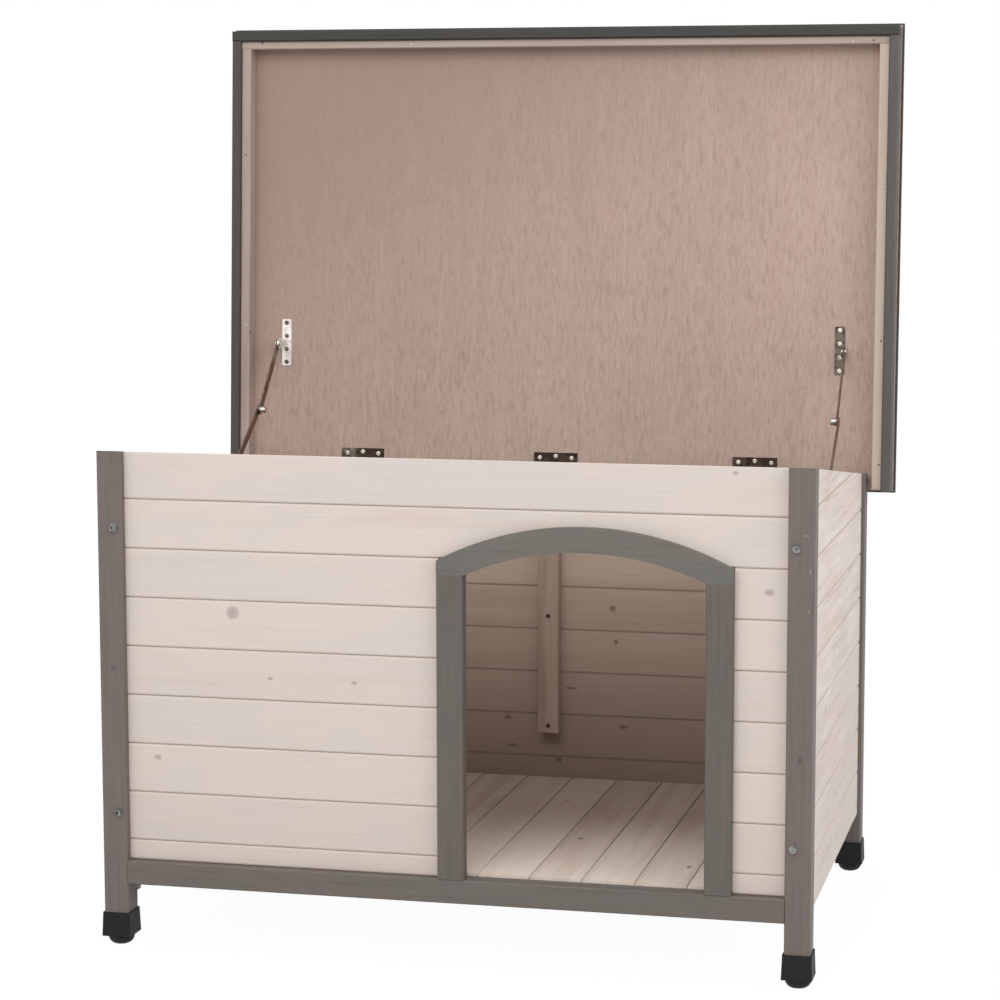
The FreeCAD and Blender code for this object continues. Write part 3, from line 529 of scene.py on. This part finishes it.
# The lid's own plane: u up the lid from the hinge pins, v towards the inside of the house
hinge = {"pinY": 625.8, "pinZ": 602.63, "lean": 2.97, "places": (-308, 0, 308),
         "screws": ((-25, 9.5), (0, 11.8), (25, 9.5)), "face": 1.65}
stay = {"screwX": 433.2, "screwU": (149.6, 169.87, 190.13, 210.4), "face": 1.55,
        "wallX": 446.9, "wallY": 374.2, "wallZ": 566.94, "wallScrews": (-30, -12, 12, 30)}
slope = math.atan2(72, 622)                      # the walls' tops fall 72 mm from the front to the back
centreScrews = {"y": 578, "z": (205, 375, 560)}
head = {"radius": 0.0034, "rise": 0.0008, "recess": 0.0005}
nails = {"radius": 0.0014, "rise": 0.0005, "stripV": 20.95,
         "bright": ((-492.3, 206), (-476, 641), (-229, 637), (241, 636), (447, 636), (496, 420)),
         "dark": ((-484.5, 195), (-493, 20), (-494, 470), (496.8, 195.4), (497, 12), (477, 637), (-468, 641))}


def onLid(x, u, v):
    lean = math.radians(hinge["lean"])
    return place(x, hinge["pinY"] + u * math.sin(lean) - v * math.cos(lean),
                 hinge["pinZ"] + u * math.cos(lean) + v * math.sin(lean))


def onWall(x, u, v):                             # u down the slope towards the front, v above it
    return place(x, hinge["pinY"] - u * math.cos(slope) + v * math.sin(slope),
                 hinge["pinZ"] + u * math.sin(slope) + v * math.cos(slope))


lidInward = Vector((0, -math.cos(math.radians(hinge["lean"])), math.sin(math.radians(hinge["lean"]))))
wallUpward = Vector((0, math.sin(slope), math.cos(slope)))


def makeHeads(name, centres, outs, body, material, node):
    grid = headGrid(centres, outs, head["radius"], head["rise"], head["recess"])
    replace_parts(headMesh(name, grid, body, material), node)


def makeScrews():
    paleHead = metalFinish("screwHeads", "paleHead", "paleHead", 0.25)
    stayHead = metalFinish("stayHeads", "darkHead", "paleHead", 0.25)
    leaves = [(x + dx, u) for x in hinge["places"] for dx, u in hinge["screws"]]
    makeHeads("lid_leaf_screws", [onLid(x, u, -hinge["face"]) for x, u in leaves],
              [lidInward] * len(leaves), "lid", paleHead, "hinge_lid_screws")
    makeHeads("wall_leaf_screws", [onWall(x, u, -hinge["face"]) for x, u in leaves],
              [wallUpward] * len(leaves), "house", paleHead, "hinge_wall_screws")
    plates = [onLid(side * stay["screwX"], u, -stay["face"]) for side in (-1, 1) for u in stay["screwU"]]
    makeHeads("lid_plate_screws", plates, [lidInward] * len(plates), "lid", stayHead, "stay_lid_screws")
    walls, outs = [], []
    for side in (-1, 1):
        for far in stay["wallScrews"]:
            walls.append(place(side * stay["wallX"], stay["wallY"] + far * math.cos(slope),
                               stay["wallZ"] - far * math.sin(slope)))
            outs.append(Vector((-side, 0, 0)))
    makeHeads("wall_plate_screws", walls, outs, "house", stayHead, "stay_wall_screws")
    middle = [place(0, centreScrews["y"], z) for z in centreScrews["z"]]
    makeHeads("centre_batten_screws", middle, [Vector((0, -1, 0))] * len(middle), "house",
              metalFinish("battenHeads", "brownHead", "brownHead", 0.4), "batten_screws")


def makeNails():
    for name, material in (("bright", zinc), ("dark", metalFinish("oldNails", "darkHead", "darkHead", 0.4))):
        spots = [onLid(x, u, nails["stripV"]) for x, u in nails[name]]
        grid = headGrid(spots, [lidInward] * len(spots), nails["radius"], nails["rise"], 0.0, 6, 16)
        headMesh("strip_nails_" + name, grid, "lid", material)


makeScrews()
makeNails()
print("screws and nails in")

# Light: a plain pale studio
studio = {"world": 0.78, "floor": paint(205, 204, 202), "shown": 0.93, "white": 1.04, "floorHalf": 14.0,
          "key": (50, (-0.5, -3.0, 3.1), 2.4), "side": (34, (3.2, -1.2, 2.2), 2.4),   # watts, place, size
          "aim": (0, 0, 0.5)}


def seenDirectly(f):                             # 1 for the camera, and for what metal or glass shows
    path = f.node("ShaderNodeLightPath").socket.node
    seen = Signal(f, path.outputs["Is Camera Ray"])
    seen = seen + Signal(f, path.outputs["Is Glossy Ray"])
    return (seen + Signal(f, path.outputs["Is Transmission Ray"])).maths("MINIMUM", 1.0)


def makeWorld():
    f = Finish("studio", bpy.data.worlds)
    plain = f.node("ShaderNodeBackground", values={"Color": (1, 1, 1, 1), "Strength": studio["world"]})
    shown = f.node("ShaderNodeBackground", values={"Color": (1, 1, 1, 1), "Strength": 1.0})
    mixed = f.node("ShaderNodeMixShader", values={0: seenDirectly(f), 1: plain, 2: shown})
    f.node("ShaderNodeOutputWorld", values={0: mixed})
    bpy.context.scene.world = f.owner


def makeLamps():
    for name in ("key", "side"):
        watts, spot, size = studio[name]
        data = bpy.data.lights.new(name, "AREA")
        data.energy = watts
        data.size = size
        lamp = bpy.data.objects.new(name, data)
        lamp.location = spot
        ahead = Vector(studio["aim"]) - Vector(spot)
        lamp.rotation_euler = ahead.to_track_quat("-Z", "Y").to_euler()
        bpy.context.scene.collection.objects.link(lamp)


def makeFloor():
    f = Finish("studioFloor")
    matt = f.node("ShaderNodeBsdfDiffuse", values={"Color": studio["floor"]})
    white = f.node("ShaderNodeEmission", values={"Color": (1, 1, 1, 1), "Strength": studio["white"]})
    share = seenDirectly(f) * studio["shown"]
    mixed = f.node("ShaderNodeMixShader", values={0: share, 1: matt, 2: white})
    f.node("ShaderNodeOutputMaterial", values={0: mixed})
    mesh = bpy.data.meshes.new("studio_floor")
    w = studio["floorHalf"]
    mesh.from_pydata([(-w, -w, 0), (w, -w, 0), (w, w, 0), (-w, w, 0)], [], [(0, 1, 2, 3)])
    mesh.materials.append(f.owner)
    floor = bpy.data.objects.new("studio_floor", mesh)
    bpy.context.scene.collection.objects.link(floor)


makeWorld()
makeLamps()
makeFloor()
bpy.context.scene.view_settings.view_transform = "Standard"
print("studio lit")
